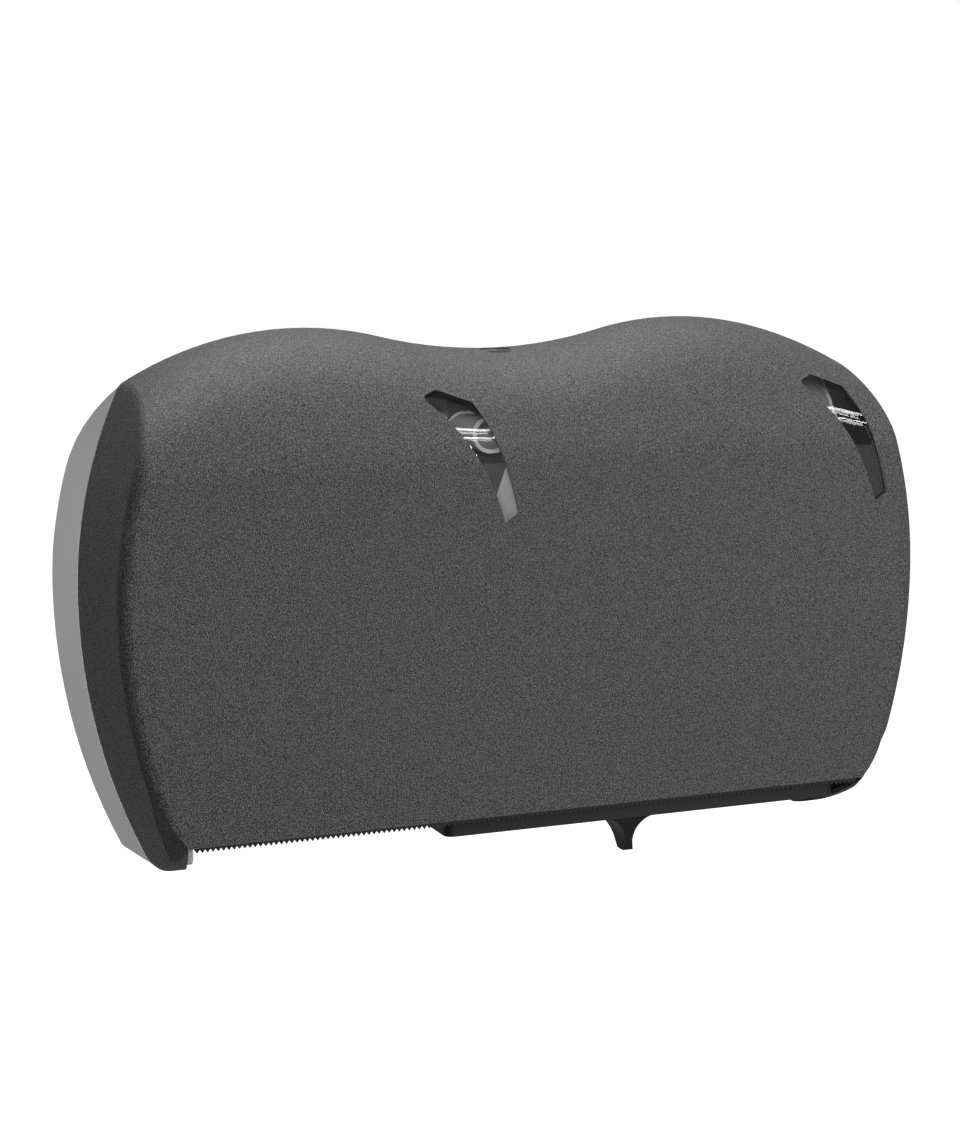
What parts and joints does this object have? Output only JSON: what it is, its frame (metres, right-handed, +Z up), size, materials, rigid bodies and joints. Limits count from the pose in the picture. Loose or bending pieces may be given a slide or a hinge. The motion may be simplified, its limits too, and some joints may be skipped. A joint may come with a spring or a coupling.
{
  "type": "jumbo toilet roll dispenser",
  "caption": "Wall-mounted case for a pair of large toilet rolls side by side, with a hinged lobed cover, crescent windows, saw-edge tear strip and a sliding roll selector.",
  "frame": {"origin": "on the wall plane at the back of the plate, midway between the two roll spindles and at their height", "axes": "+X along the wall to the right seen from the front, +Y into the wall, +Z up"},
  "size_m": [0.506, 0.124, 0.309],
  "materials": {
    "cover_plastic": "dark grey speckled, fine grained",
    "plate_plastic": "light grey, fine satin",
    "black_plastic": "black satin",
    "hub_plastic": "pale grey, smooth",
    "window_clear": "clear moulded, glossy",
    "screw_steel": "zinc plated",
    "lock_metal": "nickel plated, satin"
  },
  "bodies": {
    "plate": {"back_plate": "plate_plastic", "left_spindle_post": "plate_plastic", "right_spindle_post": "plate_plastic", "left_brake_ring": "hub_plastic", "right_brake_ring": "hub_plastic", "left_spindle_cap": "hub_plastic", "right_spindle_cap": "hub_plastic", "spindle_screws": "screw_steel", "left_hinge_pin": "screw_steel", "right_hinge_pin": "screw_steel", "lock_keeper": "lock_metal", "keeper_screws": "screw_steel"},
    "cover": {"front_cover": "cover_plastic", "left_window": "window_clear", "right_window": "window_clear", "tear_strip": "black_plastic", "selector_guide": "black_plastic", "guide_screws": "screw_steel", "lock_body": "lock_metal", "lock_nut": "lock_metal"},
    "lock": {"lock_plug": "lock_metal", "lock_cam": "lock_metal", "cam_screw": "screw_steel"},
    "selector": {"roll_selector": "black_plastic"},
    "left_hub": {"left_roll_hub": "hub_plastic"},
    "right_hub": {"right_roll_hub": "hub_plastic"}
  },
  "joints": [
    {"name": "cover_hinge", "type": "hinge", "parent": "plate", "child": "cover", "pos_m": [0, -0.0548, -0.17], "axis": [1, 0, 0], "range_deg": [0, 95]},
    {"name": "lock_turn", "type": "hinge", "parent": "cover", "child": "lock", "pos_m": [0, -0.056, 0.1], "axis": [0, 0, 1], "range_deg": [0, 90]},
    {"name": "selector_slide", "type": "slide", "parent": "cover", "child": "selector", "axis": [-1, 0, 0], "range_m": [0, 0.138]},
    {"name": "left_hub_spin", "type": "hinge", "parent": "plate", "child": "left_hub", "pos_m": [-0.118, -0.054, 0], "axis": [0, 1, 0], "continuous": true},
    {"name": "right_hub_spin", "type": "hinge", "parent": "plate", "child": "right_hub", "pos_m": [0.118, -0.054, 0], "axis": [0, 1, 0], "continuous": true}
  ]
}
